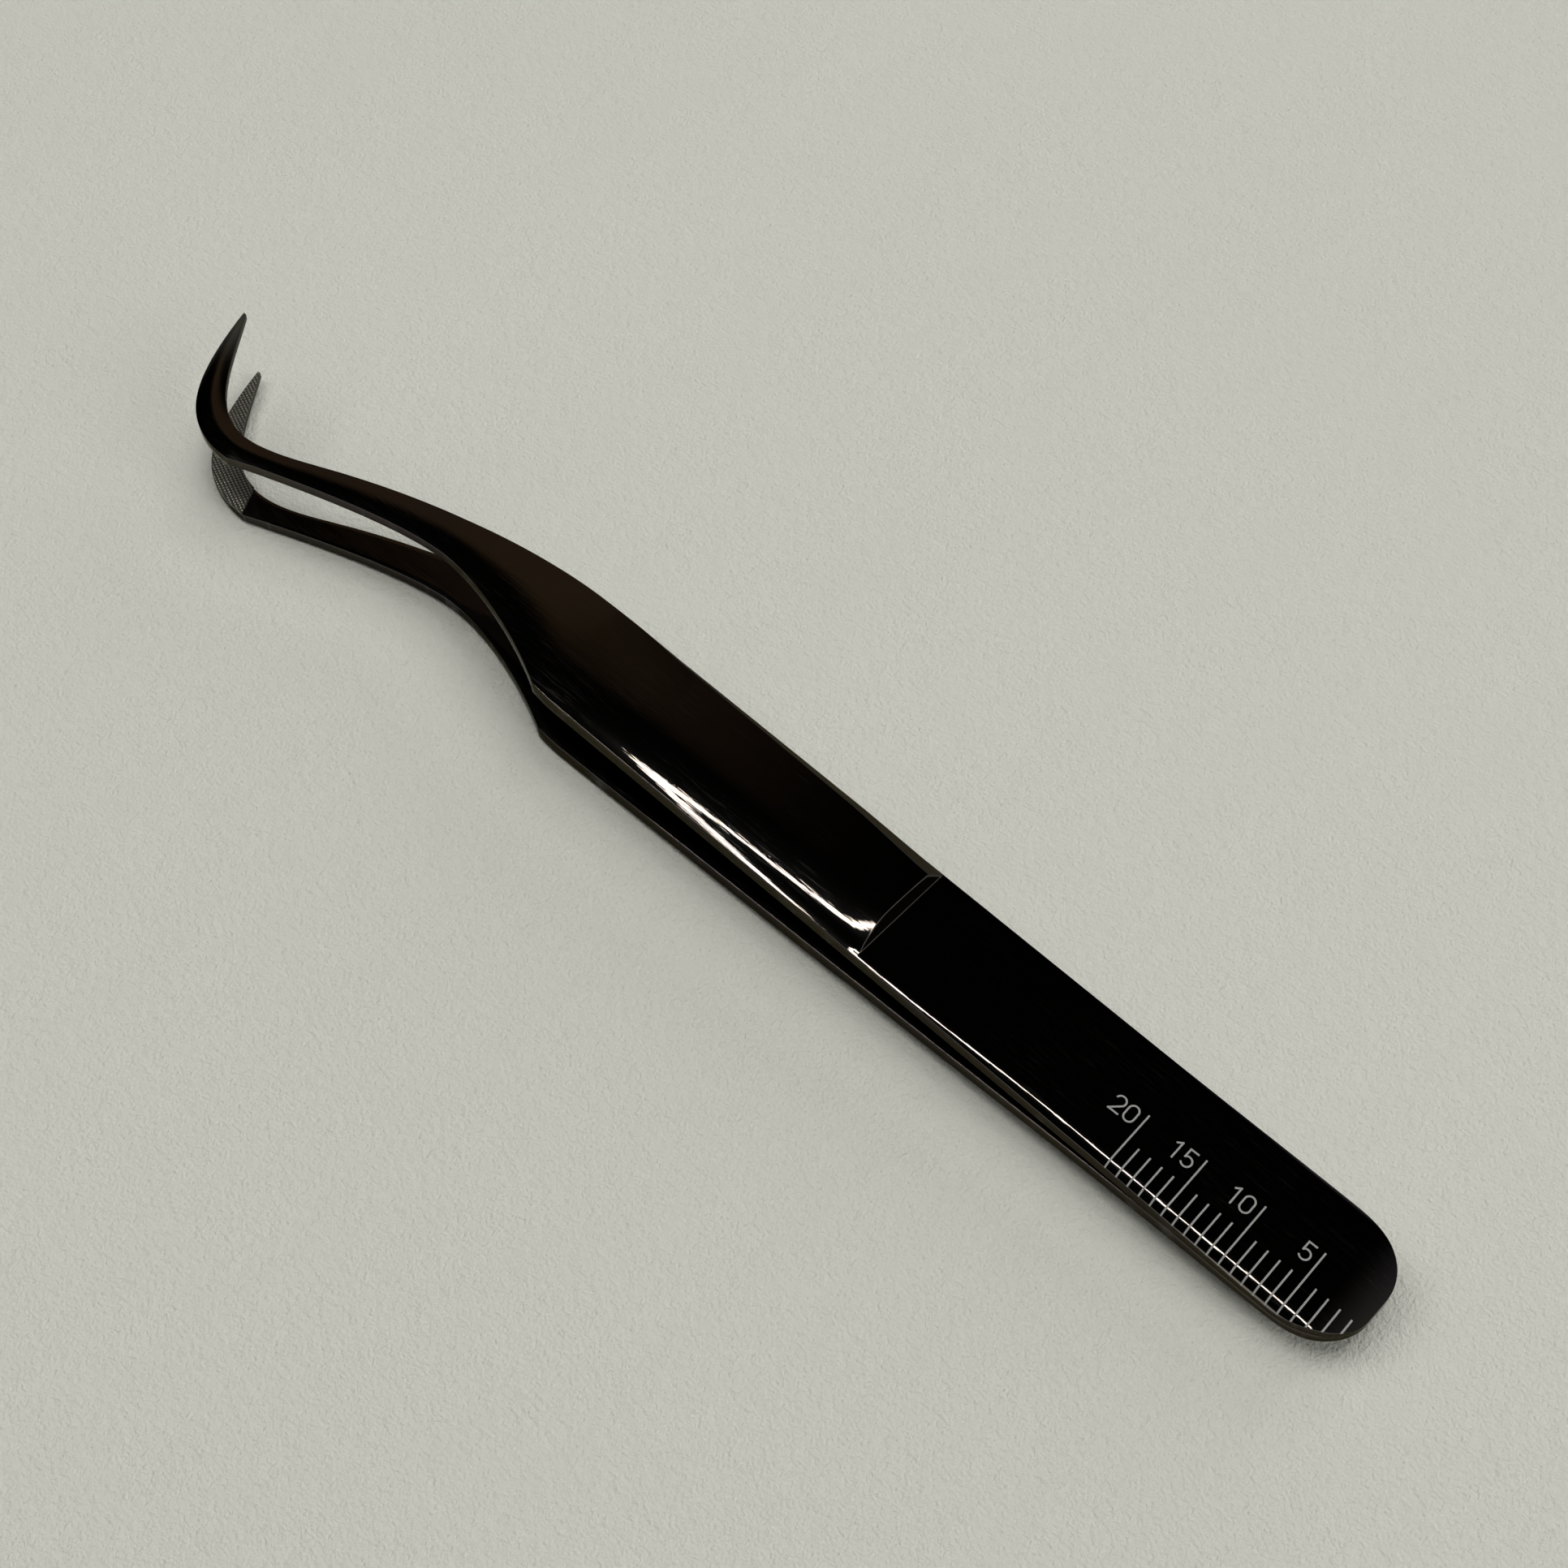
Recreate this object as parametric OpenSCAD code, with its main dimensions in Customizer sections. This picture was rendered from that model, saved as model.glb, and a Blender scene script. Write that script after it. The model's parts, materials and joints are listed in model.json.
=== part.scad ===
// Curved-tip precision tweezers: two leaf-spring arms of black coated steel,
// welded face to face at the tail.
//
// Frame, in millimetres: the origin is on the weld plane at the end of the tail.
// +X runs from the tail to the tips, +Z is the way the arms open, and the hook
// of the tips points to -Y. The two arms mirror each other in the plane Z = 0.

/* [Tail] */
// Width across the tail and the grip
body_w = 9.6; // [9:0.1:10.5]
// How far each edge bulges out near the tail end
tail_flare = 0.18; // [0:0.02:0.2]
// Where that bulge is widest
flare_x = 5.5; // [5:0.5:7]
// Where the bulge has died away
flare_end_x = 22; // [18:1:26]
// Thickness of one arm over the weld, carried on to the very end of the tail
tail_end_t = 1.05; // [0.9:0.05:1.2]
// Length over which the end of the tail is rounded off towards the weld plane
end_round_len = 5; // [4:0.5:7]
// How far the outer face has sunk at the very end
end_round_drop = 0.6; // [0.4:0.05:0.7]
// Where the weld ends and the arms part
weld_x = 15; // [13:0.5:18]
// Radius rolled along the long outer edges
edge_r = 1.45; // [1.35:0.05:1.7]
// Width of that roll along the near edge
edge_w = 0.97; // [0.6:0.05:1]
// Width of that roll along the far edge
far_edge_w = 0.65; // [0.4:0.05:0.9]

/* [Arms] */
// Angle at which each arm leaves the weld plane
spread_angle = 2.54; // [2.3:0.02:2.8]
// How much the arm curves back towards the weld plane, per mm squared
bow = 0.000114; // [0.00009:0.000002:0.00013]
// Centre of the springy length, where the arm swings
flex_x = 27.5; // [24:0.5:32]
// Gap left between the fixed and the swinging length of an arm
flex_gap = 0.1; // [0.06:0.02:0.2]

/* [Grip] */
// Step where the thin tail ends and the thick grip begins
step_x = 43; // [40:0.5:46]
// How far the step face leans over its height
step_lean = 0.45; // [0.2:0.05:0.8]
// Thickness of the tail just before the step
tail_t = 1.3; // [1.1:0.05:1.4]
// Thickness of the grip at its edges
grip_t = 1.5; // [1.45:0.05:1.7]
// Height of the crown over the grip edges at the step
crown_h = 0.9; // [0.5:0.05:1.1]
// Height of the crown over the grip edges at the shoulder
crown_end_h = 0.12; // [0.06:0.02:0.3]
// Radius rolled along the near side of the crown
crown_r = 3; // [2.5:0.1:4]
// Slope at which that roll leaves the flat top of the crown
crown_break = 15; // [10:1:25]
// Where it leaves the flat top
crown_near_y = 2.9; // [2:0.1:3.2]
// Where the flat top gives way to the bevel along the far side
crown_far_y = -3.4; // [-4:0.1:-2.8]
// Fall of that bevel
bevel_angle = 42; // [30:1:45]

/* [Neck and hook] */
// Shoulder, where the near edge of the grip ends
shoulder_x = 76.7; // [75:0.1:79]
// Where the neck is cut deepest into the near edge
waist_x = 90.6; // [89:0.1:92]
// Sideways place of that deepest cut
waist_y = 0.75; // [0.3:0.05:1.2]
// Outer corner of the bend
bend_x = 110.6; // [110:0.1:112]
// Sideways place of that corner
bend_y = 6.3; // [5.8:0.1:6.8]
// Distance from the tail end to the tips
tip_x = 122; // [121:0.5:124]
// Sideways place of the tips
tip_y = -5.1; // [-6:0.1:-4.5]
// Width of a tip at its blunt point
tip_w = 0.3; // [0.2:0.05:0.5]
// Thickness of the neck
neck_t = 1; // [0.9:0.05:1.2]
// Thickness of a tip at its point
tip_t = 0.45; // [0.3:0.05:0.6]
// Swing that closes one arm: the pads are cut so that they then lie face to face
close_angle = 2; // [1.8:0.05:2.2]
// Gap left between the closed pads
pad_gap = 0.04; // [0.02:0.01:0.1]
// Depth of the solid pad behind its gripping face
pad_t = 0.4; // [0.35:0.05:0.5]
// Slant of the pad's end line across the bend
pad_slant = 28; // [10:2:35]

/* [Ruler] */
// Number of one-millimetre graduations
tick_count = 20; // [10:5:20]
// Width of a graduation line
tick_w = 0.14; // [0.12:0.02:0.2]
// Length of a one-millimetre graduation, from the near edge
tick_len = 2.6; // [2:0.1:3]
// Length of a five-millimetre graduation, from the near edge
long_tick_len = 5.1; // [4:0.1:5.5]
// Depth of the marking in the steel
mark_depth = 0.05; // [0.04:0.01:0.1]
// Height of the numerals
digit_h = 1.5; // [1.3:0.1:1.6]
// Width of a numeral
digit_w = 0.95; // [0.8:0.05:1]
// Small turn of the whole ruler on the face
ruler_turn = 1.5; // [0:0.1:2]

/* [Welds] */
// Number of spot welds
weld_count = 3; // [2:1:3]
// Diameter of a weld nugget
weld_d = 2.6; // [2:0.1:3]
// Distance of the first weld from the tail end
weld_start_x = 4; // [3:0.5:5]
// How far a nugget reaches into each arm
weld_depth = 0.3; // [0.2:0.05:0.35]

/* [Hidden] */

coat = [0.10, 0.10, 0.11];
laser_grey = [0.72, 0.73, 0.70];
weld_grey = [0.42, 0.42, 0.43];

half_w = body_w / 2;
tall = 12;                       // reaches past either arm
lap = 0.8;                       // how far neighbouring stretches of an arm run into each other
curve_steps = 12;                // points on each curve of the outline
step_z = inner_z(step_x) + tail_t;  // outer face of the tail at the step
tail_slope = atan((step_z - tail_end_t) / step_x);
flex_z = (inner_z(flex_x) + outer_z(flex_x)) / 2;
neck_start_x = waist_x + 1;      // from here on the arm is neck_t thick
neck_end_x = bend_x - 2;         // from here on it thins to the tip
crown_end_x = shoulder_x + 6;    // where the crown has sunk into the neck

// ---- side profile: heights over the weld plane ----

// Inner face of an arm: flat over the weld, then a shallow bow
function inner_z(x) =
    x <= weld_x ? 0 : tan(spread_angle) * (x - weld_x) - bow * (x - weld_x) ^ 2;

function mix(x, x0, x1, a, b) = a + (b - a) * min(1, max(0, (x - x0) / (x1 - x0)));

// Outer face of the thin tail: one plane, rising from the tail end to the step
function outer_z(x) = mix(x, 0, step_x, tail_end_t, step_z);

// Outer face of the grip at its edges, and of the neck and hook
function edge_z(x) =
    inner_z(x) + (x < neck_end_x ? mix(x, shoulder_x, neck_start_x, grip_t, neck_t)
                                 : mix(x, neck_end_x, tip_x, neck_t, tip_t));

// Top of the crown: a straight line over the grip that sinks into the neck
crown_z0 = edge_z(step_x) + crown_h;
crown_z1 = edge_z(shoulder_x) + crown_end_h;
crown_angle = atan((crown_z1 - crown_z0) / (shoulder_x - step_x));

// Leaning face of the step, from the tail's outer face to the top of the crown
function step_face_x(z) = step_x + step_lean * (z - step_z) / (crown_z0 - step_z);

// ---- outline seen from above ----

function reversed(list) = [for (i = [len(list) - 1:-1:0]) list[i]];

// A cubic curve from a to d, drawn out by its two handles b and c
function bezier(a, b, c, d) =
    [for (i = [1:curve_steps]) let (t = i / curve_steps, s = 1 - t)
        s ^ 3 * a + 3 * s ^ 2 * t * b + 3 * s * t ^ 2 * c + t ^ 3 * d];

shoulder_in = 0.2;               // the near edge has drawn in this far at the shoulder
shoulder = [shoulder_x, half_w - shoulder_in];
waist = [waist_x, waist_y];
bend = [bend_x, bend_y];
tip = [tip_x, tip_y];
inner_bend = [bend_x + 0.7, bend_y - 2.5];
mid_neck = [bend_x - 6.6, bend_y - 4.8];
far_start = [shoulder_x + 1.3, -half_w];
blunt = [-tip_w, 0];

// Near edge, from the shoulder round the bend to the tip
near_edge = concat(
    [shoulder],
    bezier(shoulder, shoulder + [3.8, -1.9], waist - [4.6, 0], waist),
    bezier(waist, waist + [4.9, 0], bend - [6.1, 2.35], bend),
    bezier(bend, bend + [5.9, 0.25], tip + [-2.6, 8.1], tip));

// Far edge, from the tip back to the grip
far_edge = concat(
    [tip + blunt],
    bezier(tip + blunt, tip + [-3, 3.9], inner_bend + [4.7, 0], inner_bend),
    bezier(inner_bend, inner_bend - [2.5, 0], mid_neck + [2.5, 1.13], mid_neck),
    bezier(mid_neck, mid_neck - [6, 2.8], far_start + [10, -0.1], far_start));

// One side of the tail from the end round its corner to the straight edge. The
// handles say how full the corner is, across and along the arm.
end_y = 0.9;                     // half the straight length of the very end
near_handles = [2.3, 3];
far_handles = [2.5, 3.6];

function tail_side(handles) =
    let (start = [0, end_y], wide = [flare_x, half_w + tail_flare], calm = [flare_end_x, half_w],
         third = (flare_end_x - flare_x) / 3)
    concat([start],
           bezier(start, start + [0, handles[0]], wide - [handles[1], 0], wide),
           bezier(wide, wide + [third, 0], calm - [third, 0], calm));

module tail_outline() {
    near_side = tail_side(near_handles);
    far_side = [for (p = tail_side(far_handles)) [p[0], -p[1]]];
    polygon(concat(near_side, [[step_x, half_w], [step_x, -half_w]], reversed(far_side)));
}

module arm_outline() {
    union() {
        tail_outline();
        polygon(concat([[flex_x, half_w], [shoulder_x - lap, half_w]], near_edge, far_edge,
                       [[flex_x, -half_w]]));
    }
}

// A side profile (x, z) stretched sideways past both edges of an arm
module across(points) {
    translate([0, tall, 0]) rotate([90, 0, 0]) linear_extrude(2 * tall) polygon(points);
}

// A cross section (y, z) run along the arm, rising at an angle from a start point
module along(x, z, angle, length) {
    translate([x, 0, z]) rotate([0, -angle, 0]) rotate([90, 0, 90])
        linear_extrude(length) children();
}

// ---- the upper arm, as one blank, before it is parted at the flexure ----

// Places along the arm where the straight pieces of a bowed face meet
function stations(x0, x1, count) = [for (i = [0:count]) x0 + (x1 - x0) * i / count];

tail_stations = concat(stations(weld_x, step_x, 6), [step_x + lap]);
inner_stations = concat([step_x], stations(step_x + lap, bend_x, 14), [tip_x + lap]);
outer_stations = concat(stations(step_face_x(edge_z(step_x)), shoulder_x - lap, 3),
                        stations(shoulder_x, tip_x, 16));

// Section of the tail: long outer edges rolled off, top at zero height
module rolled_section() {
    near = half_w - edge_w;
    far = far_edge_w - half_w;
    for (y = [near, far])
        translate([y, -edge_r]) circle(r = edge_r, $fn = 96);
    translate([far, -tall]) square([near - far, tall]);
    translate([far - edge_r, -tall]) square([near - far + 2 * edge_r, tall - edge_r]);
}

// Large cylinder across the tail, tangent to the outer face, that rounds off the end
module end_rounding() {
    r = end_round_len ^ 2 / (2 * end_round_drop);
    length = flex_x + r;
    translate([end_round_len, 0, outer_z(end_round_len)]) rotate([0, -tail_slope, 0]) {
        translate([0, 0, -r]) rotate([90, 0, 0]) cylinder(r = r, h = 2 * tall, center = true, $fn = 360);
        translate([0, -tall, -r]) cube([length, 2 * tall, 2 * r]);
    }
}

// Everything under the tail's outer face, sunk by a depth
module under_face(depth) {
    translate([0, 0, -depth]) intersection() {
        along(-tall, outer_z(0) - tall * tan(tail_slope), tail_slope, step_x + tall + 2 * lap)
            rolled_section();
        end_rounding();
    }
}

module tail_blank() {
    intersection() {
        linear_extrude(tall) arm_outline();
        across(concat([[0, 0], [0, tall], [step_x + lap, tall]],
                      [for (x = reversed(tail_stations)) [x, inner_z(x)]]));
        under_face(0);
    }
}

// Section of the crown, top at zero height: rolled near side, flat top, bevelled far side
module crown_section() {
    depth = 3;                   // deep enough to end inside the arm
    bevel_drop = (half_w + crown_far_y) * tan(bevel_angle);
    intersection() {
        translate([crown_near_y, 0] - crown_r * [sin(crown_break), cos(crown_break)])
            circle(r = crown_r, $fn = 96);
        translate([crown_near_y, -depth]) square([crown_r, depth]);
    }
    polygon([[crown_near_y, 0], [crown_far_y, 0], [-half_w, -bevel_drop],
             [-half_w, -depth], [crown_near_y, -depth]]);
}

module crown() {
    start_x = step_x - lap;
    intersection() {
        along(start_x, crown_z0 - lap * tan(crown_angle), crown_angle, crown_end_x - start_x + lap)
            crown_section();
        across([[step_x, inner_z(step_x) + lap], [step_x, step_z], [step_face_x(tall), tall],
                [shoulder_x, tall], [shoulder_x, crown_z1],
                [crown_end_x, edge_z(crown_end_x)], [crown_end_x, inner_z(crown_end_x) + neck_t / 2]]);
    }
}

// Inner face of the blade follows the bow; its outer face is the grip edge, neck and hook
module grip_profile() {
    across(concat([for (x = inner_stations) [x, inner_z(x)]],
                  [for (x = reversed(outer_stations)) [x, edge_z(x)]],
                  [[step_x, step_z]]));
}

// Gripping pad of the hook. Closed pads lie on the weld plane, so the face is
// that plane swung open about the flexure.
module pad() {
    intersection() {
        linear_extrude(tall) arm_outline();
        translate([flex_x, 0, flex_z]) rotate([0, -close_angle, 0])
            translate([0, -tall, pad_gap / 2 - flex_z]) cube([tip_x, 2 * tall, pad_t]);
        translate([bend_x, bend_y, 0]) rotate([0, 0, pad_slant])
            translate([0, -2 * tall, 0]) cube([2 * tall, 3 * tall, tall]);
    }
}

// One whole arm, open, before it is parted at the flexure
module arm_blank() {
    tail_blank();
    pad();
    intersection() {
        linear_extrude(tall) arm_outline();
        union() {
            grip_profile();
            crown();
        }
    }
}

// ---- ruler: graduations and numerals, drawn from above ----

module stroke(a, b) {
    d = b - a;
    translate(a) rotate(atan2(d[1], d[0])) translate([-tick_w / 2, -tick_w / 2])
        square([norm(d) + tick_w, tick_w]);
}

// Part of a ring, from one angle to another
module bow_stroke(centre, r, from, to) {
    reach = 3 * r;
    translate(centre) intersection() {
        difference() {
            circle(r = r + tick_w / 2, $fn = 48);
            circle(r = r - tick_w / 2, $fn = 48);
        }
        polygon(concat([[0, 0]], [for (i = [0:4]) let (a = from + (to - from) * i / 4)
            reach * [cos(a), sin(a)]]));
    }
}

// Numerals stand on y = 0 with their left side at x = 0
module digit_0() {
    r = digit_w / 2 - tick_w / 2;
    low = [digit_w / 2, digit_w / 2];
    high = [digit_w / 2, digit_h - digit_w / 2];
    bow_stroke(low, r, 180, 360);
    bow_stroke(high, r, 0, 180);
    for (side = [-r, r]) stroke(low + [side, 0], high + [side, 0]);
}

module digit_1() {
    foot = [digit_w * 0.65, tick_w / 2];
    head = [digit_w * 0.65, digit_h - tick_w / 2];
    stroke(foot, head);
    stroke(head, head - [digit_w * 0.35, digit_h * 0.15]);
}

module digit_2() {
    r = digit_w / 2 - tick_w / 2;
    eye = [digit_w / 2, digit_h - digit_w / 2];
    base = tick_w / 2;
    bow_stroke(eye, r, -35, 170);
    stroke(eye + r * [cos(35), -sin(35)], [base, base]);
    stroke([base, base], [digit_w - base, base]);
}

module digit_5() {
    r = digit_w / 2 - tick_w / 2;
    eye = [digit_w / 2, digit_w / 2];
    left = digit_w * 0.2;
    top = digit_h - tick_w / 2;
    bow_stroke(eye, r, -150, 140);
    stroke([left, top], [digit_w - tick_w, top]);
    stroke([left, top], eye + r * [cos(140), sin(140)]);
}

module digit(n) {
    if (n == 0) digit_0();
    if (n == 1) digit_1();
    if (n == 2) digit_2();
    if (n == 5) digit_5();
}

// A number reads from the near side, its right side towards the tail end
module number(n) {
    pitch = digit_w * 1.18;
    digits = n < 10 ? [n] : [floor(n / 10), n % 10];
    for (i = [0:len(digits) - 1])
        translate([pitch * (i - len(digits)), 0]) digit(digits[i]);
}

module ruler_outline() {
    start_x = -0.15;             // the scale starts this far from the tail end
    pivot = [17, 2];
    translate(pivot) rotate(ruler_turn) translate([start_x, 0] - pivot)
        for (i = [1:tick_count]) {
            length = i % 5 == 0 ? long_tick_len : tick_len;
            translate([i - tick_w / 2, half_w - length]) square([tick_w, length + 1]);
            if (i % 5 == 0)
                translate([i + digit_w * 0.4, half_w - long_tick_len + digit_h])
                    rotate(180) number(i);
        }
}

// ---- the finished pieces ----

module weld_nuggets() {
    pitch = (weld_x - weld_start_x) / weld_count;
    for (i = [0:weld_count - 1])
        translate([weld_start_x + pitch * i, 0, -weld_depth])
            cylinder(d = weld_d, h = 2 * weld_depth, $fn = 64);
}

module fixed_length() {
    intersection() {
        arm_blank();
        translate([-1, -tall, 0]) cube([flex_x - flex_gap / 2 + 1, 2 * tall, tall]);
    }
}

module swinging_length() {
    intersection() {
        arm_blank();
        translate([flex_x + flex_gap / 2, -tall, 0]) cube([tip_x, 2 * tall, tall]);
    }
}

module upper_tail() {
    color(coat) difference() {
        fixed_length();
        weld_nuggets();
        ruler_inlay();
    }
}

module lower_tail() {
    color(coat) difference() {
        mirror([0, 0, 1]) fixed_length();
        weld_nuggets();
    }
}

module upper_blade() {
    color(coat) swinging_length();
}

module lower_blade() {
    color(coat) mirror([0, 0, 1]) swinging_length();
}

module spot_welds() {
    color(weld_grey) weld_nuggets();
}

// The marked skin: under the outer face, but not under it once it is sunk
module ruler_inlay() {
    intersection() {
        difference() {
            linear_extrude(tall) intersection() {
                arm_outline();
                ruler_outline();
            }
            under_face(mark_depth);
        }
        under_face(0);
    }
}

module ruler_marks() {
    color(laser_grey) ruler_inlay();
}

upper_tail();
lower_tail();
upper_blade();
lower_blade();
spot_welds();
ruler_marks();
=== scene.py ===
import json
import math

import bpy
import numpy as np
from mathutils import Matrix, Vector


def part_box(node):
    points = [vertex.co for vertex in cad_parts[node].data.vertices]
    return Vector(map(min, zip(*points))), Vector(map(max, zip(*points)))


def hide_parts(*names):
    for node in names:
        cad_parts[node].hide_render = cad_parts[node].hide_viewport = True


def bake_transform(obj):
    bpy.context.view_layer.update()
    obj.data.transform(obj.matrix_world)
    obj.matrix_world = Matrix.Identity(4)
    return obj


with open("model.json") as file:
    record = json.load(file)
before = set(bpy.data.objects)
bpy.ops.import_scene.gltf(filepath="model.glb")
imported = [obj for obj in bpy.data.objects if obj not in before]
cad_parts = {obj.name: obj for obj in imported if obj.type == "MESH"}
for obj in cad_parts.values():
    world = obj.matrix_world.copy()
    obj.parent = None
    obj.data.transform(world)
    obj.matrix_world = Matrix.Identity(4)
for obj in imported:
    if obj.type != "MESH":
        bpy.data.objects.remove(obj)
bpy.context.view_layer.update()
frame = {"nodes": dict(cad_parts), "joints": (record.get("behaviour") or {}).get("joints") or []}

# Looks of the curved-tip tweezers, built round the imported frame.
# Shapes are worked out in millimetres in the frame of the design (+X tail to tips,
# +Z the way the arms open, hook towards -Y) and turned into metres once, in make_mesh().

MM = 0.001

# ---------------------------------------------------------------- driving dimensions (mm)

TAIL_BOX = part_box("upper_tail")
BLADE_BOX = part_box("upper_blade")
FLEX = next(j for j in frame["joints"] if j["child"] == "upper_arm")
FLEX_X = FLEX["pos_m"][0] / MM
FLEX_Z = FLEX["pos_m"][2] / MM
FINE_END_X = 34.0                # rings lie close together up to here, for a smooth bend
CLOSE_ANGLE = math.radians(FLEX["range_deg"][1])

TAIL_FLARE = 0.18                # the edges bulge out near the tail end
HALF_W = TAIL_BOX[1].y / MM - TAIL_FLARE    # half the width of the tail and the grip
TIP_X = BLADE_BOX[1].x / MM
TIP_Y = BLADE_BOX[0].y / MM
BEND_Y = BLADE_BOX[1].y / MM

END_Y = 0.9                      # half the straight length of the very end
NEAR_HANDLES = (2.3, 3.0)        # how full the tail's corners are, across and along
FAR_HANDLES = (2.5, 3.6)
FLARE_X = 5.5                    # the tail is widest here
FLARE_END_X = 22.0               # and has its straight width from here
WELD_X = 15.0                    # the arms part here
TAIL_END_T = 1.05                # thickness of one arm, carried on to the tail end
END_ROUND_LEN = 5.0              # length rounded off at the tail end
END_ROUND_DROP = 0.6             # and how far the face has sunk at the very end
ROLL_R = 1.45                    # radius rolled along the tail's outer edges
ROLL_W = 0.97                    # width of that roll along the near edge
FAR_ROLL_W = 0.65                # and along the far edge
ROLL_W_STEP = 0.5                # width of the near roll beside the step
ROLL_NARROWS = (22.5, 42.0)      # the roll narrows between these two places
SPREAD = math.tan(math.radians(2.54))    # slope of the arms where they part
BOW = 0.000114                   # and how fast they bow back towards each other
STEP_X = 43.0                    # the step from the thin tail up to the grip
STEP_LEAN = 0.45                 # its face leans back by this much
STEP_LEAD = 0.3                  # the rounding at its foot starts this far before it
TAIL_T = 1.3                     # thickness of one arm just behind the step
GRIP_T = 1.5                     # at the edges of the grip
NECK_T = 1.0                     # along the neck
TIP_T = 0.45                     # and at the tip
TIP_W = 0.3                      # width of the blunt tip
CROWN_H = 0.9                    # crown over the grip's edges, at the step
CROWN_END_H = 0.12               # and at the shoulder
CROWN_FADE = 8.0                 # the crown sinks into the neck over this length

# near edge: end of the grip, deepest place of the neck, crest of the hook, tip
SHOULDER = np.array([76.7, HALF_W - 0.2])
WAIST = np.array([90.6, 0.75])
BEND = np.array([110.6, BEND_Y])
TIP = np.array([TIP_X, TIP_Y])
# far edge: where it leaves the straight grip, where the neck bows most, inside of the hook's bend
FAR_START = np.array([SHOULDER[0] + 1.3, -HALF_W])
MID_NECK = BEND + [-6.6, -4.8]
INNER_BEND = BEND + [0.7, -2.5]
BLUNT = np.array([-TIP_W, 0.0])

PAD_GAP = 0.04                   # left between the closed pads
PAD_SLANT = math.radians(28)     # the pad starts along a line turned this far

SKIN = 0.012                     # the ruler marks stand this much proud of the steel
EDGE_R = 0.055                   # broken edge between a wall and a face
INNER_EDGE_R = 0.05              # and between a wall and the inner face
EDGE_SHARE = 0.12                # at most this share of the width, on the slim tip
STEEPEST_EDGE = math.radians(75)
SHARP_ANGLE = math.radians(32)   # shading stays crisp over steeper edges than this

# ---------------------------------------------------------------- side profile


def ramp(x, x0, x1):
    return np.clip((np.asarray(x, float) - x0) / (x1 - x0), 0, 1)


def smooth(x, x0, x1):
    t = ramp(x, x0, x1)
    return t * t * (3 - 2 * t)


def soft_min(a, b, r):
    """Lower of two heights, rounded over about r where they cross."""
    h = np.clip(0.5 + 0.5 * (b - a) / r, 0, 1)
    return b * (1 - h) + a * h - r * h * (1 - h)


def soft_max(a, b, r):
    return -soft_min(-np.asarray(a, float), -np.asarray(b, float), r)


def inner_z(x):
    u = np.maximum(np.asarray(x, float) - WELD_X, 0)
    return SPREAD * u - BOW * u * u


STEP_Z = float(inner_z(STEP_X)) + TAIL_T


def edge_z(x):
    """Outer face of the grip at its edges, and of the neck and hook."""
    x = np.asarray(x, float)
    neck = GRIP_T + (NECK_T - GRIP_T) * ramp(x, SHOULDER[0], WAIST[0] + 1)
    hook = NECK_T + (TIP_T - NECK_T) * ramp(x, BEND[0] - 2, TIP_X)
    return inner_z(x) + np.where(x < BEND[0] - 2, neck, hook)


CROWN_Z0 = float(edge_z(STEP_X)) + CROWN_H
CROWN_Z1 = float(edge_z(SHOULDER[0])) + CROWN_END_H


def roll_drop(x, y):
    """How far the tail's face has rolled off towards its long edges."""
    width = np.where(y > 0, ROLL_W + (ROLL_W_STEP - ROLL_W) * smooth(x, *ROLL_NARROWS), FAR_ROLL_W)
    into = np.clip(np.abs(y) - (HALF_W - width), 0, ROLL_R)
    return ROLL_R - np.sqrt(ROLL_R**2 - into**2)


def tail_top(x, y):
    face = TAIL_END_T + (STEP_Z - TAIL_END_T) * np.asarray(x, float) / STEP_X
    sunk = END_ROUND_DROP * np.maximum(1 - np.asarray(x, float) / END_ROUND_LEN, 0) ** 2
    return face - sunk - roll_drop(x, y) - SKIN


# The near side of the crown is steepest a little way in from the edge and eases off both ways
# to a gentle slope that dies out along the middle; the far side is a flat bevel.
NEAR_STEEP = 0.72                # distance of the steepest line from the near edge
NEAR_EASE = 0.49                 # half width of the steep band
NEAR_GENTLE = 0.27               # gentle slope as a share of the steepest
NEAR_FADE = 2.2                  # the gentle slope starts to die out here
NEAR_WIDTH = 4.6                 # and has gone here
BEVEL = math.tan(math.radians(42))
BEVEL_SINK = (0.14, 0.28)        # the far edge is ground this far under the grip, and more at the step
BEVEL_SINK_LEN = 9.0             # the extra depth dies out over this length
BEVEL_LIFT = 0.3                 # the bevel rises clear of the face where there is no crown to cut
BEVEL_FORMED = 0.25              # height of crown at which the bevel is cut in full
DOME_FORMED = 0.3                # and at which the crown is domed in full
DOME_R = 60.0                    # radius of the dome across the grip
DOME_Y = 0.3                     # the dome's highest line
CORNER_LEN = 2.4                 # the worn corner runs this far along the grip
CORNER_DROP = 0.20               # and lies this much lower
CORNER_BAND = (0.9, 3.3)         # the corner's drop fades between these distances from the near edge
NECK_DOME = 0.035                # height of the neck's dome as a share of its width
HOOK_DOME = 0.110                # and of the hook's
MAX_DOME = 0.24
BEVEL_SOFT = 0.05                # how softly the bevel, the crest and the foot of the step turn
CREST_SOFT = 0.10
FOOT_SOFT = 0.09


def near_profile():
    """Rise from the near edge to the top of the crown, as a share, against distance from the edge."""
    into = np.linspace(0, NEAR_WIDTH, 461)
    slope = NEAR_GENTLE + (1 - NEAR_GENTLE) / (1 + (np.abs(into - NEAR_STEEP) / NEAR_EASE) ** 2.2)
    slope = slope * (1 - smooth(into, NEAR_FADE, NEAR_WIDTH))
    share = np.concatenate([[0], np.cumsum((slope[1:] + slope[:-1]) / 2)])
    return into, share / share[-1]


NEAR_PROFILE = near_profile()


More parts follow.
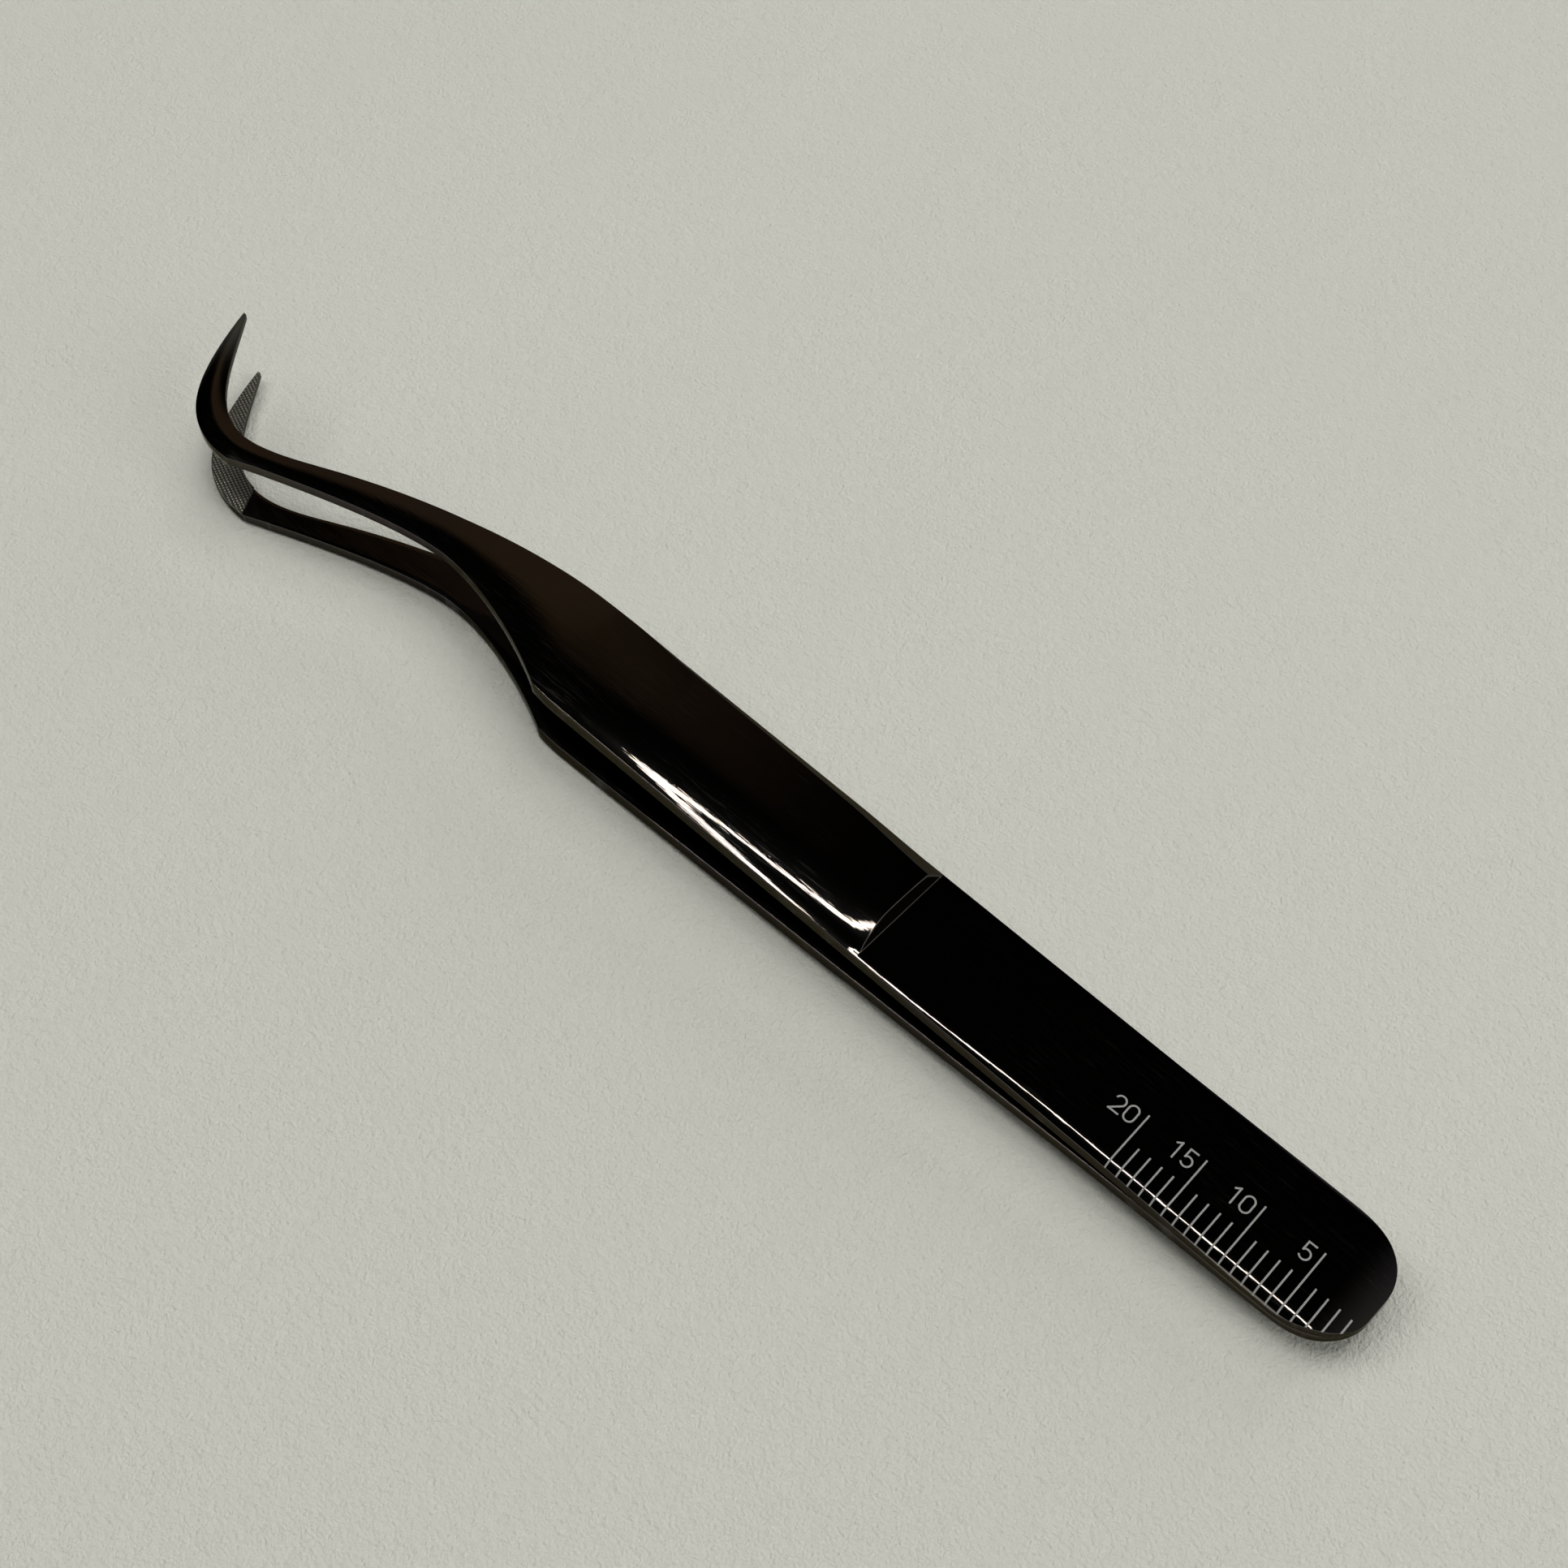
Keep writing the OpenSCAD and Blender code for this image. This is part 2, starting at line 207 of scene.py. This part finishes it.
def crown_rise(x):
    over_grip = CROWN_Z0 + (CROWN_Z1 - CROWN_Z0) * (x - STEP_X) / (SHOULDER[0] - STEP_X) - edge_z(x)
    return np.maximum(over_grip, 0) * (1 - smooth(x, SHOULDER[0] - 1, SHOULDER[0] + CROWN_FADE))


def neck_dome(x, width):
    """Height of the gentle dome across the neck and the hook; the slim tip is nearly half round."""
    share = NECK_DOME + (HOOK_DOME - NECK_DOME) * smooth(x, BEND[0] - 6, BEND[0] + 3)
    return np.minimum(share * width, MAX_DOME) * smooth(x, SHOULDER[0] - 4, SHOULDER[0] + 9)


def softened_corner(x, y):
    """Drop of the crown's near corner beside the step, where polishing has worn it."""
    beside_step = 1 - ramp(x, STEP_X + STEP_LEAN, STEP_X + STEP_LEAN + CORNER_LEN)
    return CORNER_DROP * beside_step**2 * (1 - smooth(HALF_W - y, *CORNER_BAND))


def grip_top(x, y):
    rise = crown_rise(x)
    formed = ramp(rise, 0, BEVEL_FORMED)
    near_part = np.interp(HALF_W - y, *NEAR_PROFILE)
    dome = (y - DOME_Y) ** 2 / (2 * DOME_R) * ramp(rise, 0, DOME_FORMED)
    crown = rise * near_part - dome - softened_corner(x, y)
    extra = BEVEL_SINK[1] * (1 - smooth(x, STEP_X, STEP_X + BEVEL_SINK_LEN))
    bevel = (HALF_W + y) * BEVEL - (BEVEL_SINK[0] + extra) * formed + BEVEL_LIFT * (1 - formed)
    return edge_z(x) + soft_min(crown, bevel, BEVEL_SOFT)


def face_z(x):
    """Leaning face of the step."""
    return STEP_Z - SKIN + (np.asarray(x, float) - STEP_X) * (CROWN_Z0 - STEP_Z) / STEP_LEAN


def top_z(x, y):
    x, y = np.broadcast_arrays(np.asarray(x, float), np.asarray(y, float))
    grip = soft_min(grip_top(x, y), face_z(x), CREST_SOFT)
    tail = tail_top(np.minimum(x, STEP_X + 1), y)
    z = np.where(x < STEP_X + 1.5, soft_max(tail, grip, FOOT_SOFT), grip)
    return np.where(x < STEP_X - STEP_LEAD, tail_top(x, y), z)


# ---------------------------------------------------------------- outline


def curve(a, b, c, d, count=60):
    t = np.linspace(0, 1, count + 1)[:, None]
    s = 1 - t
    return s**3 * a + 3 * s**2 * t * b + 3 * s * t**2 * c + t**3 * d


def at_spacing(line, count):
    """count + 1 points, evenly spaced along a polyline."""
    gaps = np.linalg.norm(np.diff(line, axis=0), axis=1)
    run = np.concatenate([[0], np.cumsum(gaps)])
    want = np.linspace(0, run[-1], count + 1)
    return np.stack([np.interp(want, run, line[:, i]) for i in (0, 1)], axis=1)


NECK_NEAR = curve(SHOULDER, SHOULDER + [3.8, -1.9], WAIST - [4.6, 0], WAIST)
OFFSET_NEAR = curve(WAIST, WAIST + [4.9, 0], BEND - [6.1, 2.35], BEND)
HOOK_NEAR = curve(BEND, BEND + [5.9, 0.25], TIP + [-2.6, 8.1], TIP)
FAR_LINE = np.concatenate([
    [[SHOULDER[0], -HALF_W]],
    curve(FAR_START, FAR_START + [10, -0.1], MID_NECK - [6, 2.8], MID_NECK),
    curve(MID_NECK, MID_NECK + [2.5, 1.13], INNER_BEND - [2.5, 0], INNER_BEND)[1:],
    curve(INNER_BEND, INNER_BEND + [4.7, 0], TIP + BLUNT + [-3, 3.9], TIP + BLUNT)[1:]])


def far_index_at(score):
    return int(np.argmin(score(FAR_LINE)))


WAIST_FAR = far_index_at(lambda p: np.linalg.norm(p - WAIST, axis=1))
PAD_LINE = np.array([math.sin(PAD_SLANT), -math.cos(PAD_SLANT)])
PAD_FAR = far_index_at(lambda p: np.abs((p - BEND) @ [PAD_LINE[1], -PAD_LINE[0]])
                       + 10 * (p[:, 0] < BEND[0]) + 10 * (p[:, 1] < 0))


def tail_side(handles):
    """Edge of the tail from the end round its corner to where the bulge has died away."""
    start = np.array([0, END_Y])
    wide = np.array([FLARE_X, HALF_W + TAIL_FLARE])
    calm = np.array([FLARE_END_X, HALF_W])
    third = np.array([(FLARE_END_X - FLARE_X) / 3, 0])
    corner = curve(start, start + [0, handles[0]], wide - [handles[1], 0], wide)
    bulge = curve(wide, wide + third, calm - third, calm)
    return np.concatenate([at_spacing(corner, 40), at_spacing(bulge, 34)[1:]])


def stations():
    """Paired points of the near and far edges, from the tail end to the tip."""
    bending_x = np.linspace(FLARE_END_X, FINE_END_X, 49)[1:]
    tail_x = np.concatenate([bending_x, np.linspace(FINE_END_X, STEP_X - STEP_LEAD, 14)[1:]])
    step_x = STEP_X + np.concatenate([np.linspace(-STEP_LEAD, 0.9, 49)[1:], np.linspace(0.9, 3, 12)[1:]])
    grip_x = np.linspace(step_x[-1], SHOULDER[0], 70)[1:]
    straight = np.concatenate([tail_x, step_x, grip_x])
    drawn_in = (HALF_W - SHOULDER[1]) * smooth(straight, SHOULDER[0] - 2.5, SHOULDER[0] + 2.5) * 2
    near = [tail_side(NEAR_HANDLES), np.stack([straight, HALF_W - drawn_in], 1)]
    far = [tail_side(FAR_HANDLES) * [1, -1], np.stack([straight, np.full_like(straight, -HALF_W)], 1)]
    for near_part, far_part, count in (
            (NECK_NEAR, FAR_LINE[:WAIST_FAR + 1], 46),
            (OFFSET_NEAR, FAR_LINE[WAIST_FAR:PAD_FAR + 1], 64),
            (HOOK_NEAR, FAR_LINE[PAD_FAR:], 64)):
        near.append(at_spacing(near_part, count)[1:])
        far.append(at_spacing(far_part, count)[1:])
    return np.concatenate(near), np.concatenate(far)


# ---------------------------------------------------------------- meshes


def make_mesh(name, verts_mm, faces):
    mesh = bpy.data.meshes.new(name)
    mesh.from_pydata([tuple(v) for v in np.asarray(verts_mm) * MM], [], faces)
    mesh.validate()
    mesh.update()
    return mesh


def add_object(name, data):
    obj = bpy.data.objects.new(name, data)
    bpy.context.scene.collection.objects.link(obj)
    return obj


# distances from an edge at which the outer face is sampled, closest where it curves most
NEAR_STEPS = np.array([0.05, 0.11, 0.18, 0.26, 0.34, 0.42, 0.50, 0.58, 0.66, 0.75, 0.84, 0.94,
                       1.05, 1.17, 1.30, 1.45, 1.65, 1.90, 2.25, 2.70, 3.20])


def section(near, far):
    """One closed ring of an arm: up the near wall, across the outer face, down and back under."""
    across = far - near
    width = float(np.linalg.norm(across))
    across = across / width
    dome = float(neck_dome(near[0], width))
    scale = min(1.0, width / 2 / (NEAR_STEPS[-1] + 0.5))
    edge = min(EDGE_R, width * EDGE_SHARE)
    under = min(INNER_EDGE_R, width * EDGE_SHARE)
    inner = inner_z(near[0]), inner_z(far[0])

    def place(s):
        return near + np.outer(s, across)

    def height(s):
        s = np.atleast_1d(s)
        bulge = dome * (0.5 - (2 * s / width - 1) ** 2)
        return top_z(*place(s).T) + bulge

    def rounded_top(from_near):
        """Broken edge at the top of one wall, as (distance across, height), from the wall inwards."""
        def inwards(distance):
            return distance if from_near else width - distance

        probe = height([inwards(0.0), inwards(edge)])
        slope = math.atan2(float(probe[1] - probe[0]), edge)
        slope = min(max(slope, 0.0), STEEPEST_EDGE)
        last = edge * (1 - math.sin(slope))
        z0 = float(height(inwards(last))[0]) - edge * math.cos(slope)
        out = []
        for f in np.linspace(0, math.pi / 2 - slope, 5):
            out.append((inwards(edge * (1 - math.cos(f))), z0 + edge * math.sin(f)))
        return out

    near_top = rounded_top(True)
    far_top = rounded_top(False)
    steps = NEAR_STEPS * scale
    middle = np.linspace(steps[-1], width - steps[-1], 9)[1:-1]
    inside = np.concatenate([steps, middle, width - steps[::-1]])

    ring = [(under - under * math.sin(t), inner[0] + under - under * math.cos(t))
            for t in np.radians([0, 30, 60, 90])]
    ring.append((0.0, (ring[-1][1] + near_top[0][1]) / 2))
    ring += near_top
    ring += list(zip(inside, height(inside)))
    ring += far_top[::-1]
    ring.append((width, (inner[1] + far_top[0][1]) / 2))
    ring += [(width - under + under * math.sin(t), inner[1] + under - under * math.cos(t))
             for t in np.radians([90, 60, 30, 0])]
    for f in np.linspace(1, 0, 9)[1:-1]:
        s = under + (width - 2 * under) * f
        ring.append((s, float(inner_z((near + across * s)[0]))))
    ring = np.array(ring, float)
    return np.column_stack([place(ring[:, 0]), ring[:, 1]])


def quads_between(rows, columns, closed=True):
    faces = []
    for k in range(rows - 1):
        for j in range(columns if closed else columns - 1):
            n = (j + 1) % columns
            here, there = k * columns, (k + 1) * columns
            faces.append((here + j, here + n, there + n, there + j))
    return faces


def arm_shell():
    """Vertices and faces of the upper arm's steel, hook tip and tail end closed."""
    near, far = stations()
    rings = [section(n, f) for n, f in zip(near, far)]
    columns = len(rings[0])
    verts = np.concatenate(rings)
    faces = quads_between(len(rings), columns)
    faces.append(tuple(range(columns))[::-1])
    last = (len(rings) - 1) * columns
    faces.append(tuple(range(last, last + columns)))
    return verts, faces


# knurled gripping pads
KNURL_PITCH = 0.29
KNURL_DEPTH = 0.085
KNURL_ANGLES = (math.radians(60), math.radians(-21))
KNURL_FLAT = 1.25                # the peaks are cut flat where they would rise past 1
PAD_INSET = 0.012                # the pad stops this far inside the walls
PAD_RIM = 0.05                   # the cuts fade out over this width along its rim
PAD_SINK = 0.12                  # the pad's back lies this deep in the arm


def pad_plane(x):
    """Gripping face: the weld plane swung open about the flexure."""
    return FLEX_Z + (np.asarray(x, float) - FLEX_X) * math.tan(CLOSE_ANGLE) \
        - (FLEX_Z - PAD_GAP / 2) / math.cos(CLOSE_ANGLE)


def knurl(x, y):
    """Height of the pyramids, 0 in a groove and 1 on a peak."""
    ridge = 1.0
    for angle in KNURL_ANGLES:
        phase = (-x * math.sin(angle) + y * math.cos(angle)) / KNURL_PITCH
        ridge = np.minimum(ridge, 1 - np.abs(2 * (phase - np.floor(phase)) - 1))
    return np.clip(ridge * KNURL_FLAT, 0, 1)


def pad_shell():
    """Vertices and faces of the upper arm's gripping pad, knurled on the side that grips."""
    near = at_spacing(HOOK_NEAR, 250)
    far = at_spacing(FAR_LINE[PAD_FAR:], 250)
    columns = 46
    verts = []
    for n, f in zip(near, far):
        across = f - n
        width = np.linalg.norm(across)
        s = np.linspace(PAD_INSET, width - PAD_INSET, columns)
        flat = n + np.outer(s / width, across)
        x, y = flat.T
        rim = np.minimum(s, width - s)
        face = pad_plane(x) + KNURL_DEPTH * (1 - knurl(x, y)) * ramp(rim, 0, PAD_RIM)
        back = inner_z(x) + PAD_SINK
        verts.append(np.column_stack([flat, face]))
        verts.append(np.column_stack([flat[::-1], back[::-1]]))
    verts = np.concatenate(verts)
    ring = 2 * columns
    rows = len(near)
    faces = quads_between(rows, ring)
    faces.append(tuple(range(ring))[::-1])
    faces.append(tuple(range((rows - 1) * ring, rows * ring)))
    return verts, faces


def make_arm(name, sign, materials):
    """One arm, its gripping pad with flat faces and the second material."""
    verts, faces = arm_shell()
    pad_verts, pad_faces = pad_shell()
    all_verts = np.concatenate([verts, pad_verts]) * [1, 1, sign]
    all_faces = faces + [tuple(i + len(verts) for i in f) for f in pad_faces]
    mesh = make_mesh(name, all_verts, all_faces)
    for polygon in mesh.polygons:
        is_pad = polygon.index >= len(faces)
        polygon.material_index = 1 if is_pad else 0
        polygon.use_smooth = not is_pad
    for material in materials:
        mesh.materials.append(material)
    arm = add_object(name, mesh)
    bpy.context.view_layer.objects.active = arm
    arm.select_set(True)
    bpy.ops.object.mode_set(mode="EDIT")
    bpy.ops.mesh.select_all(action="SELECT")
    bpy.ops.mesh.normals_make_consistent(inside=False)
    bpy.ops.object.mode_set(mode="OBJECT")
    mesh.set_sharp_from_angle(angle=SHARP_ANGLE)
    return arm


# ---------------------------------------------------------------- materials


class Nodes:
    """Short way to write node trees."""

    def __init__(self, tree):
        self.tree = tree

    def new(self, kind, **settings):
        node = self.tree.nodes.new(kind)
        for key, value in settings.items():
            setattr(node, key, value)
        return node

    def feed(self, socket, value):
        if isinstance(value, bpy.types.NodeSocket):
            self.tree.links.new(value, socket)
        else:
            socket.default_value = value

    def math(self, operation, *values, clamp=False):
        node = self.new("ShaderNodeMath", operation=operation, use_clamp=clamp)
        for socket, value in zip(node.inputs, values):
            self.feed(socket, value)
        return node.outputs[0]

    def mix(self, factor, a, b):
        node = self.new("ShaderNodeMix", data_type="RGBA")
        self.feed(node.inputs[0], factor)
        self.feed(node.inputs[6], a)
        self.feed(node.inputs[7], b)
        return node.outputs[2]

    def ramp(self, value, low, high, to_low=0.0, to_high=1.0):
        node = self.new("ShaderNodeMapRange", clamp=True, interpolation_type="SMOOTHSTEP")
        for socket, v in zip(node.inputs[:5], (value, low, high, to_low, to_high)):
            self.feed(socket, v)
        return node.outputs[0]

    def place(self, scale=(1, 1, 1), turn=(0, 0, 0), source="Object"):
        coords = self.new("ShaderNodeTexCoord")
        mapping = self.new("ShaderNodeMapping")
        mapping.inputs["Scale"].default_value = scale
        mapping.inputs["Rotation"].default_value = turn
        self.tree.links.new(coords.outputs[source], mapping.inputs["Vector"])
        return mapping.outputs["Vector"]

    def axes(self, vector):
        split = self.new("ShaderNodeSeparateXYZ")
        self.feed(split.inputs[0], vector)
        return split.outputs

    def noise(self, vector, scale, detail=3.0, rough=0.55):
        node = self.new("ShaderNodeTexNoise")
        self.feed(node.inputs["Vector"], vector)
        node.inputs["Scale"].default_value = scale
        node.inputs["Detail"].default_value = detail
        node.inputs["Roughness"].default_value = rough
        return node.outputs["Fac"]

    def bump(self, height, strength, distance, normal=None):
        node = self.new("ShaderNodeBump")
        node.inputs["Strength"].default_value = strength
        node.inputs["Distance"].default_value = distance
        self.feed(node.inputs["Height"], height)
        if normal is not None:
            self.feed(node.inputs["Normal"], normal)
        return node.outputs["Normal"]


def new_material(name):
    material = bpy.data.materials.new(name)
    material.use_nodes = True
    nodes = Nodes(material.node_tree)
    shader = material.node_tree.nodes["Principled BSDF"]
    return material, nodes, shader


def rgb(r, g, b):
    return (r, g, b, 1.0)


def black_mirror():
    """Polished black coating: a near-black warm mirror, finely scratched in patches, with satin tips."""
    material, n, shader = new_material("black_mirror_coating")
    tint = n.noise(n.place(), 90, 2.0)
    black = n.mix(n.ramp(tint, 0.35, 0.7), rgb(0.062, 0.056, 0.050), rgb(0.054, 0.048, 0.052))
    # fine scratches run along the arms, in patches
    hair = n.noise(n.place(scale=(420, 9000, 420), turn=(0, 0, math.radians(-5))), 1.0, 2.0)
    patches = n.noise(n.place(scale=(120, 260, 200)), 1.0, 3.0)
    scratched = n.math("MULTIPLY", n.ramp(hair, 0.52, 0.74), n.ramp(patches, 0.38, 0.66))
    # the slim tips are ground to a satin finish
    x, y, z = n.axes(n.place())
    along_hook = n.ramp(y, (BEND_Y - 3) * MM, (TIP_Y + 1) * MM)
    satin = n.math("MULTIPLY", along_hook, n.ramp(x, (BEND[0] - 3) * MM, BEND[0] * MM))
    rough = n.math("ADD", 0.035, n.math("MULTIPLY", scratched, 0.10))
    rough = n.math("ADD", rough, n.math("MULTIPLY", satin, 0.40))
    n.feed(shader.inputs["Base Color"], n.mix(satin, black, rgb(0.12, 0.12, 0.112)))
    n.feed(shader.inputs["Roughness"], rough)
    shader.inputs["Metallic"].default_value = 1.0
    # colour of the coating where it is seen at a low angle
    shader.inputs["Specular Tint"].default_value = rgb(0.40, 0.395, 0.355)
    # the scratches scatter a faint haze
    n.feed(shader.inputs["Coat Weight"], n.math("ADD", 0.05, n.math("MULTIPLY", scratched, 0.55)))
    shader.inputs["Coat Roughness"].default_value = 0.30
    shader.inputs["Coat IOR"].default_value = 1.35
    # slow unevenness of the polish, then the scratches themselves
    waves = n.noise(n.place(scale=(260, 700, 700)), 1.0, 1.5)
    normal = n.bump(waves, 0.16, 0.00004)
    normal = n.bump(n.math("MULTIPLY", hair, patches), 0.55, 0.000015, normal)
    n.feed(shader.inputs["Normal"], normal)
    return material


def pad_steel():
    """Matt, knurled gripping face: pale peaks painted as highlight over dark grooves painted as shade."""
    material, n, shader = new_material("knurled_pad")
    x, y, z = n.axes(n.place())
    ridge = 1.0
    for angle in KNURL_ANGLES:
        sideways = n.math("MULTIPLY", x, math.sin(angle))
        run = n.math("SUBTRACT", n.math("MULTIPLY", y, math.cos(angle)), sideways)
        across = n.math("PINGPONG", n.math("DIVIDE", run, KNURL_PITCH * MM), 0.5)
        ridge = n.math("MINIMUM", ridge, n.math("MULTIPLY", across, 2.0))
    blotch = n.noise(n.place(), 900, 3.0)
    # grooves get a dark colour as painted shade, peaks a pale one as painted highlight, its tone varied
    # at random by the blotches
    groove = rgb(0.030, 0.028, 0.023)
    peak = n.mix(blotch, rgb(0.17, 0.16, 0.135), rgb(0.24, 0.228, 0.195))
    n.feed(shader.inputs["Base Color"], n.mix(n.ramp(ridge, 0.20, 0.75), groove, peak))
    shader.inputs["Metallic"].default_value = 0.5
    n.feed(shader.inputs["Roughness"], n.ramp(blotch, 0.2, 0.8, 0.38, 0.55))
    n.feed(shader.inputs["Normal"], n.bump(n.noise(n.place(), 9000, 2.0), 0.2, 0.00002))
    return material


def laser_grey():
    """Matt laser marking, slightly uneven along each line."""
    material, n, shader = new_material("laser_marking")
    grain = n.noise(n.place(), 14000, 2.0)
    colour = n.mix(n.ramp(grain, 0.3, 0.7), rgb(0.24, 0.237, 0.228), rgb(0.36, 0.355, 0.34))
    n.feed(shader.inputs["Base Color"], colour)
    shader.inputs["Roughness"].default_value = 0.7
    shader.inputs["Specular IOR Level"].default_value = 0.2
    n.feed(shader.inputs["Normal"], n.bump(grain, 0.3, 0.00001))
    return material


def weld_steel():
    """Bare, grainy steel of the weld nuggets."""
    material, n, shader = new_material("weld_nugget")
    grain = n.noise(n.place(), 2500, 4.0)
    n.feed(shader.inputs["Base Color"], n.mix(grain, rgb(0.28, 0.27, 0.27), rgb(0.5, 0.49, 0.47)))
    shader.inputs["Metallic"].default_value = 1.0
    n.feed(shader.inputs["Roughness"], n.ramp(grain, 0.2, 0.8, 0.3, 0.5))
    n.feed(shader.inputs["Normal"], n.bump(grain, 0.4, 0.00005))
    return material


def paper():
    """Pale floor with a faint tooth; it fades out far away and cannot be seen from below."""
    material, n, shader = new_material("pale_paper")
    tooth = n.math("ADD", n.noise(n.place(), 3600, 3.0, 0.6), n.noise(n.place(), 1300, 2.0))
    clouds = n.noise(n.place(), 12, 2.0)
    colour = n.mix(clouds, rgb(0.70, 0.70, 0.63), rgb(0.73, 0.728, 0.665))
    n.feed(shader.inputs["Base Color"], colour)
    shader.inputs["Roughness"].default_value = 0.85
    shader.inputs["Specular IOR Level"].default_value = 0.15
    n.feed(shader.inputs["Normal"], n.bump(tooth, 0.75, 0.00032))
    distance = n.new("ShaderNodeVectorMath", operation="LENGTH")
    n.feed(distance.inputs[0], n.place())
    below = n.new("ShaderNodeNewGeometry").outputs["Backfacing"]
    gone = n.math("MAXIMUM", n.ramp(distance.outputs["Value"], FADE_FROM, FADE_TO), below)
    blend = n.new("ShaderNodeMixShader")
    n.feed(blend.inputs[0], gone)
    n.feed(blend.inputs[1], shader.outputs[0])
    n.feed(blend.inputs[2], n.new("ShaderNodeBsdfTransparent").outputs[0])
    n.feed(material.node_tree.nodes["Material Output"].inputs["Surface"], blend.outputs[0])
    return material


# ---------------------------------------------------------------- the object


def dress_cad_node(name, material):
    mesh = frame["nodes"][name].data
    mesh.materials.clear()
    mesh.materials.append(material)


def build_object():
    skin = (black_mirror(), pad_steel())
    for name, sign, body in (("upper_arm_spring", 1, "upper_arm"), ("lower_arm_spring", -1, "lower_arm")):
        arm = make_arm(name, sign, skin)
        half = name.split("_")[0]
        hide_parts(half + "_tail", half + "_blade")
        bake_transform(arm)
    dress_cad_node("ruler_marks", laser_grey())
    dress_cad_node("spot_welds", weld_steel())


# ---------------------------------------------------------------- stage, light, camera


FLOOR_REACH = 3.0                # metres from the tool to the floor's edge
FLOOR_GAP = 0.00003              # left under the tool, so that nothing cuts into the floor
FADE_FROM = 0.30                 # the floor fades out between these distances
FADE_TO = 0.75


def build_floor():
    """The tool lies on the lower arm's crown, touching at the step and at the shoulder."""
    heel = Vector((STEP_X + STEP_LEAN, 0, -CROWN_Z0)) * MM
    toe = Vector((SHOULDER[0], 0, -CROWN_Z1)) * MM
    along = (toe - heel).normalized()
    up = Vector((0, 1, 0)).cross(along) * -1
    mesh = bpy.data.meshes.new("floor")
    corners = [heel + (along * a + Vector((0, 1, 0)) * b) * FLOOR_REACH - up * FLOOR_GAP
               for a, b in ((-1, -1), (1, -1), (1, 1), (-1, 1))]
    mesh.from_pydata(corners, [], [(0, 1, 2, 3)])
    floor = add_object("floor", mesh)
    mesh.materials.append(paper())


def area_light(name, place, aim, size, power, colour, mirrored_only=False):
    light = bpy.data.lights.new(name, "AREA")
    light.shape = "RECTANGLE"
    light.size, light.size_y = size
    light.energy = power
    light.color = colour
    obj = add_object(name, light)
    obj.location = place
    obj.rotation_euler = (Vector(aim) - Vector(place)).to_track_quat("-Z", "Y").to_euler()
    obj.visible_glossy = mirrored_only
    obj.visible_diffuse = not mirrored_only


# soft light for the floor from all round, kept out of the mirror: name, place, watts
SOFT_LIGHTS = (("soft_top", (0.06, 0.0, 1.30), 3.8),
               ("soft_far", (0.06, -0.50, 1.15), 2.7),
               ("soft_far_low", (0.06, -1.15, 0.45), 3.1),
               ("soft_tips", (0.70, 0.25, 1.05), 4.8),
               ("soft_tail", (-0.95, 0.0, 0.68), 5.0))
SOFT_SIZE = (0.7, 0.7)
MIDDLE = (0.06, 0, 0)            # the soft lights aim at the middle of the tool
# long ceiling lamp that the rolled edges mirror as a thin bright line
LAMP_PLACE = (0.13, 0.09, 0.60)
LAMP_SIZE = (0.50, 0.062)


def build_lights():
    for name, place, power in SOFT_LIGHTS:
        area_light(name, place, MIDDLE, SOFT_SIZE, power, (1.0, 1.0, 0.985))
    straight_down = (LAMP_PLACE[0], LAMP_PLACE[1], 0)
    area_light("lamp", LAMP_PLACE, straight_down, LAMP_SIZE, 2.8, (1.0, 0.96, 0.90), mirrored_only=True)


def build_world():
    """Dark room seen only in the mirror finish: black overhead, a dim brown side beyond the tool,
    grey near the horizon, pale windows behind the tail and behind the viewer."""
    world = bpy.data.worlds.new("dark_room")
    bpy.context.scene.world = world
    world.use_nodes = True
    n = Nodes(world.node_tree)
    x, y, z = n.axes(n.new("ShaderNodeTexCoord").outputs["Generated"])

    def patch(under, tint, *limits):
        """Lay a tint over a colour where every (axis, none, full) limit is passed."""
        share = 1.0
        for axis, none, full in limits:
            share = n.math("MULTIPLY", share, n.ramp(axis, none, full))
        return n.mix(share, under, rgb(*tint))

    black = rgb(0.004, 0.0035, 0.003)
    brown_side = patch(black, (0.21, 0.145, 0.085), (x, 0.30, 0.52), (y, -0.31, -0.42))
    horizon = patch(brown_side, (0.34, 0.35, 0.33), (z, 0.42, 0.05), (y, 0.2, -0.4))
    tail_end = patch(horizon, (0.42, 0.42, 0.40), (x, -0.12, -0.62))
    window = patch(tail_end, (3.4, 3.4, 3.2), (x, -0.50, -0.72), (z, 0.62, 0.52), (z, 0.36, 0.45))
    room = patch(window, (2.4, 2.35, 2.2), (y, 0.66, 0.85), (z, 0.44, 0.30), (z, -0.1, 0.05))

    # the camera sees a plain pale backdrop, and nothing else is lit by the room
    background = world.node_tree.nodes["Background"]
    path = n.new("ShaderNodeLightPath")
    seen = path.outputs["Is Camera Ray"]
    n.feed(background.inputs["Color"], n.mix(seen, room, rgb(0.52, 0.52, 0.465)))
    n.feed(background.inputs["Strength"], n.math("MAXIMUM", path.outputs["Is Glossy Ray"], seen))


# the camera stands over the near side of the tail and looks down towards the tips
CAMERA_PLACE = Vector((-0.014804, 0.074591, 0.163067))
CAMERA_FORWARD = Vector((0.37342, -0.40129, -0.83638))
CAMERA_RIGHT = Vector((-0.72831, -0.68524, 0.00360))


def build_camera():
    camera = bpy.data.cameras.new("camera")
    camera.lens = 58.81
    camera.sensor_width = 36
    camera.clip_start = 0.005
    obj = add_object("camera", camera)
    forward = CAMERA_FORWARD.normalized()
    right = CAMERA_RIGHT.normalized()
    up = right.cross(forward).normalized()
    turn = Matrix((right, up, -forward)).transposed()
    obj.matrix_world = Matrix.Translation(CAMERA_PLACE) @ turn.to_4x4()
    bpy.context.scene.camera = obj


build_object()
build_floor()
build_lights()
build_world()
build_camera()
bpy.context.scene.view_settings.view_transform = "Standard"
